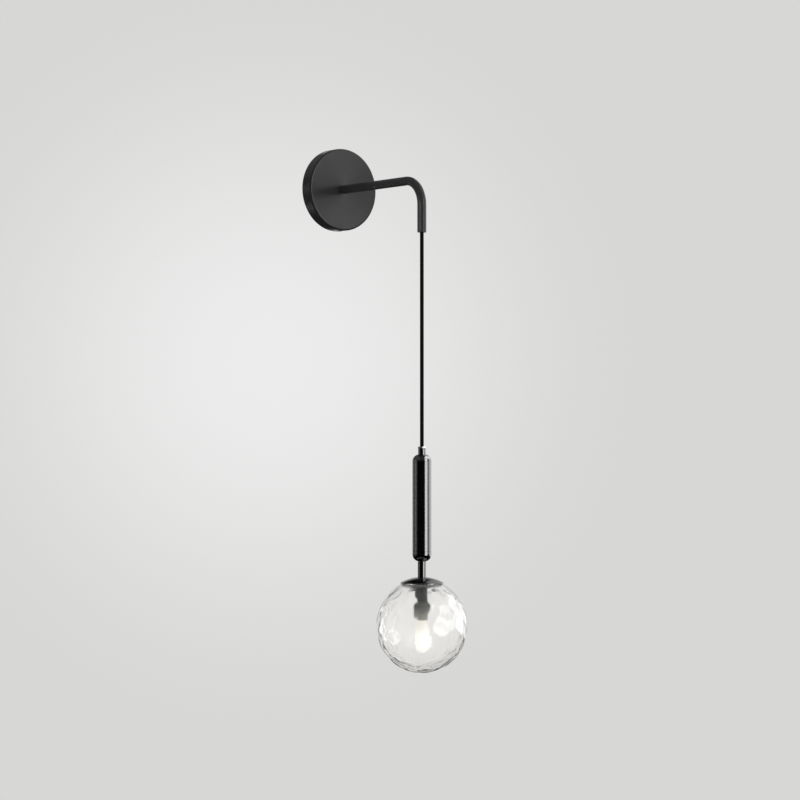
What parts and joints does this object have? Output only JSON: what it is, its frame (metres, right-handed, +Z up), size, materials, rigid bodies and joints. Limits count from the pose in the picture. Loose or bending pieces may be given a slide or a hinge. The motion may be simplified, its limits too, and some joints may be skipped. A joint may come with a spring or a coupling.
{
  "type": "hanging pendant wall sconce",
  "caption": "Wall light: round canopy and bent tube arm, from which a slim barrel with a clear dimpled glass globe hangs on a cord.",
  "frame": {"origin": "centre of the canopy's back, on the wall, midway between the two fixing slots", "axes": "+Z up, +Y into the wall, +X along the wall to the right seen from the room; the lamp stands out towards -Y"},
  "size_m": [0.12, 0.2525, 0.7067],
  "materials": {
    "satin_black": "satin black powder coat",
    "gloss_black": "polished black nickel",
    "dark_collar": "satin black",
    "dark_sleeve": "satin dark grey",
    "black_screw": "blackened steel",
    "chrome_ring": "polished",
    "zinc_steel": "zinc plated",
    "brass": "plain",
    "white_plastic": "natural nylon",
    "black_plastic": "black nylon",
    "cord_sheath": "smooth black sheath",
    "core_insulation": "brown, blue and green-yellow cores",
    "ceramic": "unglazed",
    "silicone": "translucent",
    "clear_glass": "clear, dimpled",
    "frosted_cover": "frosted, lit",
    "bulb_ceramic": "plain",
    "board": "white circuit board",
    "led_chip": "yellow phosphor"
  },
  "bodies": {
    "wall_arm": {"canopy_cover": "satin_black", "wall_bracket": "zinc_steel", "canopy_screws": "black_screw", "terminal_block": "white_plastic", "terminal_clamps": "brass", "terminal_screws": "zinc_steel", "block_screw": "zinc_steel", "earth_screw": "brass", "earth_washer": "zinc_steel", "earth_lug": "zinc_steel", "arm_tube": "satin_black", "arm_nipple": "zinc_steel", "arm_washer": "zinc_steel", "arm_lock_washer": "zinc_steel", "arm_nut": "zinc_steel", "arm_cord_grip": "black_plastic", "arm_grip_screw": "white_plastic", "arm_lead": "cord_sheath", "arm_lead_cores": "core_insulation", "arm_end_bushing": "black_plastic"},
    "cord_bend_fore": {"cord_bend_upper": "cord_sheath"},
    "cord_bend_side": {"cord_bend_lower": "cord_sheath"},
    "pendant": {"pendant_cord": "cord_sheath", "cord_ferrule": "chrome_ring", "cord_grip": "gloss_black", "grip_collet": "white_plastic", "upper_end_cap": "gloss_black", "barrel_tube": "gloss_black", "lower_end_cap": "gloss_black", "centre_rod": "zinc_steel", "stem_sleeve": "gloss_black", "globe_cap": "gloss_black", "globe_collar": "dark_collar", "lamp_sleeve": "dark_sleeve", "rod_washer": "zinc_steel", "rod_nut": "zinc_steel", "holder_bracket": "zinc_steel", "lamp_holder": "ceramic", "holder_contacts": "brass", "holder_screws": "zinc_steel", "earth_tag": "brass", "lamp_leads": "core_insulation"},
    "globe_carrier": {"globe_seal": "silicone"},
    "globe": {"glass_globe": "clear_glass"},
    "bulb": {"bulb_envelope": "frosted_cover", "bulb_base": "bulb_ceramic", "bulb_pins": "chrome_ring", "bulb_board": "board", "bulb_leds": "led_chip"}
  },
  "joints": [
    {"name": "swing_fore", "type": "hinge", "parent": "wall_arm", "child": "cord_bend_fore", "pos_m": [0, -0.1925, -0.068], "axis": [1, 0, 0], "range_deg": [-20, 12]},
    {"name": "swing_side", "type": "hinge", "parent": "cord_bend_fore", "child": "cord_bend_side", "pos_m": [0, -0.1925, -0.068], "axis": [0, 1, 0], "range_deg": [-20, 20]},
    {"name": "cord_twist", "type": "hinge", "parent": "cord_bend_side", "child": "pendant", "pos_m": [0, -0.1925, -0.07], "axis": [0, 0, 1], "range_deg": [-90, 90], "stiffness_Nm_per_rad": 0.002},
    {"name": "globe_drop", "type": "slide", "parent": "pendant", "child": "globe_carrier", "axis": [0, 0, -1], "range_m": [0, 0.0071]},
    {"name": "globe_turn", "type": "hinge", "parent": "globe_carrier", "child": "globe", "pos_m": [0, -0.1925, -0.5316], "axis": [0, 0, -1], "range_deg": [0, 630]},
    {"name": "bulb_pull", "type": "slide", "parent": "pendant", "child": "bulb", "axis": [0, 0, -1], "range_m": [0, 0.015]}
  ],
  "couplings": [
    {"joint": "globe_drop", "follows": "globe_turn", "m_per_rad": 0.00063662}
  ]
}
